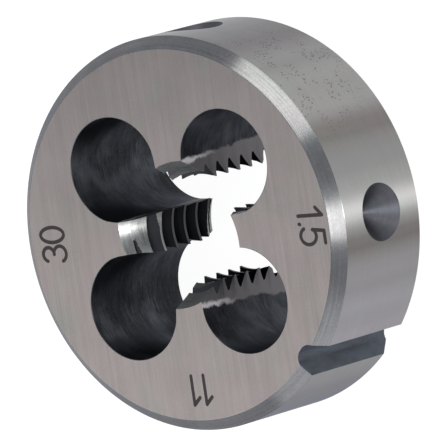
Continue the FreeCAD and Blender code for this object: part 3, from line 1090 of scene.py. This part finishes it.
def floor_material(base):
    """A pale matt floor that shows white to the camera and in reflections, and keeps a soft shadow."""
    material, tree, shader = fresh_material("studio_floor")
    path = node(tree, "ShaderNodeLightPath")
    seen = number_of(tree, "MAXIMUM", path.outputs["Is Camera Ray"], path.outputs["Is Glossy Ray"])
    seen = number_of(tree, "MAXIMUM", seen, path.outputs["Is Transmission Ray"])
    wire(tree, shader, {
        "Base Color": (*base, 1),
        "Roughness": 0.9,
        "Emission Color": (1, 1, 1, 1),
        "Emission Strength": number_of(tree, "MULTIPLY", seen, 0.95),
    })
    return material


# Stage

# The soft boxes: their directions are degrees, their distances and sizes metres.
LAMPS = {
    "overhead": {
        "azimuth": 218, "elevation": 45, "distance": 0.13, "size": (0.12, 0.12), "radiance": 1.7,
        "tint": (1, 1, 1),
    },
    "upper_right": {
        "azimuth": 66, "elevation": 29, "distance": 0.5, "size": (0.39, 0.22), "radiance": 4.2,
        "tint": (1, 0.99, 0.94),
    },
    "right": {
        "azimuth": -6, "elevation": 37, "distance": 0.5, "size": (0.13, 0.25), "radiance": 4.8,
        "tint": (1, 1, 0.96),
    },
    "low_right": {
        "azimuth": -1, "elevation": 9, "distance": 0.5, "size": (0.025, 0.13), "radiance": 105.0,
        "tint": (1, 1, 1),
    },
    "low_front": {
        "azimuth": -70, "elevation": 20, "distance": 0.5, "size": (0.56, 0.22), "radiance": 1.05,
        "tint": (1, 0.97, 0.99),
    },
}
SKY = (0.78, 0.80, 0.86, 1)

# The camera's place, and the directions in which its picture's right side, its top and its back lie.
CAMERA_PLACE = (0.46174, 0.07439, 0.60058)
CAMERA_RIGHT = (0.79052, -0.14509, -0.59500)
CAMERA_TOP = (0.05552, 0.98451, -0.16629)
CAMERA_BACK = (0.60992, 0.09841, 0.78633)
LENS_MM = 807.8
SENSOR_MM = 36.0

FLOOR_HALF_WIDTH = 1.5
FLOOR_HEIGHT = -0.02 * MILLIMETRE


def area_lamp(name, azimuth, elevation, distance, size, radiance, tint):
    """A soft box aimed at the middle of the die."""
    data = bpy.data.lights.new(name, "AREA")
    data.shape = "RECTANGLE"
    data.size, data.size_y = size
    data.energy = radiance * math.pi * size[0] * size[1]
    data.color = tint
    lamp = bpy.data.objects.new(name, data)
    rise = math.radians(elevation)
    away = Vector(polar(math.cos(rise), math.radians(azimuth), math.sin(rise)))
    aim = Vector((0, 0, BOX_HIGH.z / 2))
    lamp.location = aim + away * distance
    lamp.rotation_mode = "QUATERNION"
    lamp.rotation_quaternion = away.to_track_quat("Z", "Y")
    lamp.visible_camera = False
    bpy.context.scene.collection.objects.link(lamp)


class DIE_OT_dress_body(bpy.types.Operator):
    """Build the die's surfaces and put their finishes on, in place of the plain CAD body"""

    bl_idname = "die.dress_body"
    bl_label = "Dress the Die"

    def execute(self, context):
        sizes = context.scene.die_sizes
        finishes = context.scene.die_finishes
        materials = [
            steel_material(name, getattr(finishes, name), **look) for name, look in STEEL_LOOKS.items()
        ]
        add_rim_reflections_and_pits(materials[GROUND_RIM].node_tree, finishes.ground_rim)
        # blue-grey patches on the hole walls, and a painted reflection with a painted highlight beside the
        # teeth
        add_wall_patches_and_painted_light(materials[CHIP_HOLE_WALL].node_tree, finishes.chip_hole_wall, finishes.rake_reflection)
        # painted light on the flanks and a painted highlight on the crests, paler towards the front face
        add_painted_entry_light(materials[CUT_THREAD].node_tree, shade(finishes.cut_thread, 4.5))
        add_painted_entry_light(materials[THREAD_CREST].node_tree, shade(finishes.thread_crest, 5.0))
        piece = mesh_object("dressed_die", welded(die_patches(sizes)), materials)
        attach(piece, BODY)
        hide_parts(CAD_NODE)
        return {"FINISHED"}


class DIE_OT_etch_numbers(bpy.types.Operator):
    """Etch the pitch, the outer diameter and the thickness into the front face, in millimetres"""

    bl_idname = "die.etch_numbers"
    bl_label = "Etch the Numbers"

    def execute(self, context):
        sizes = context.scene.die_sizes
        material = etched_material(context.scene.die_finishes.etched_number)
        # each number's text, the direction in which it lies, and the radius of its foot
        numbers = (
            (f"{sizes.thread_pitch / MILLIMETRE:.1f}", 0.0, 11.4 * MILLIMETRE),
            (f"{sizes.outer_diameter / MILLIMETRE:.0f}", math.pi, 10.9 * MILLIMETRE),
            (f"{sizes.thickness / MILLIMETRE:.0f}", -math.pi / 2, 10.7 * MILLIMETRE),
        )
        patches = []
        for text, turn, foot_radius in numbers:
            patches += number_patches(sizes, text, turn, foot_radius)
        piece = mesh_object("etched_numbers", welded(patches), [material])
        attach(piece, BODY)
        return {"FINISHED"}


class DIE_OT_set_stage(bpy.types.Operator):
    """Lay the floor, hang the lamps and set the camera"""

    bl_idname = "die.set_stage"
    bl_label = "Set the Stage"

    def execute(self, context):
        side = np.linspace(-FLOOR_HALF_WIDTH, FLOOR_HALF_WIDTH, 5)
        across, along = np.meshgrid(side, side)
        points = beside(across, along, FLOOR_HEIGHT)
        patch = grid_patch(points, np.broadcast_to(UP, points.shape), points[..., :2], 0)
        material = floor_material(context.scene.die_finishes.floor)
        mesh_object("floor", welded([patch]), [material])

        world = bpy.data.worlds.new("studio")
        world.use_nodes = True
        wire(world.node_tree, world.node_tree.nodes["Background"], {"Color": SKY, "Strength": 1.0})
        context.scene.world = world

        for name, settings in LAMPS.items():
            area_lamp(name, **settings)

        data = bpy.data.cameras.new("camera")
        data.lens = LENS_MM
        data.sensor_width = SENSOR_MM
        data.clip_start, data.clip_end = 0.01, 20.0
        camera = bpy.data.objects.new("camera", data)
        turn = Matrix((CAMERA_RIGHT, CAMERA_TOP, CAMERA_BACK)).transposed()
        camera.matrix_world = Matrix.Translation(CAMERA_PLACE) @ turn.to_4x4()
        context.scene.collection.objects.link(camera)
        context.scene.camera = camera
        context.scene.view_settings.view_transform = "Standard"
        return {"FINISHED"}


class DIE_PT_panel(bpy.types.Panel):
    """The die's sizes and colours, and the steps that build it"""

    bl_idname = "DIE_PT_panel"
    bl_label = "Threading Die"
    bl_space_type = "VIEW_3D"
    bl_region_type = "UI"
    bl_category = "Die"

    def draw(self, context):
        for group in (context.scene.die_sizes, context.scene.die_finishes):
            box = self.layout.box()
            for name in group.__annotations__:
                box.prop(group, name)
        for step in STEPS:
            self.layout.operator(step.bl_idname)


STEPS = (DIE_OT_dress_body, DIE_OT_etch_numbers, DIE_OT_set_stage)
CLASSES = (DieSizes, DieFinishes, *STEPS, DIE_PT_panel)


def register():
    for part in CLASSES:
        bpy.utils.register_class(part)
    bpy.types.Scene.die_sizes = bpy.props.PointerProperty(type=DieSizes)
    bpy.types.Scene.die_finishes = bpy.props.PointerProperty(type=DieFinishes)


def unregister():
    del bpy.types.Scene.die_finishes
    del bpy.types.Scene.die_sizes
    for part in reversed(CLASSES):
        bpy.utils.unregister_class(part)


def main():
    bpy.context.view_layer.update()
    register()
    bpy.ops.die.dress_body()
    bpy.ops.die.etch_numbers()
    bpy.ops.die.set_stage()


if __name__ == "__main__":
    main()
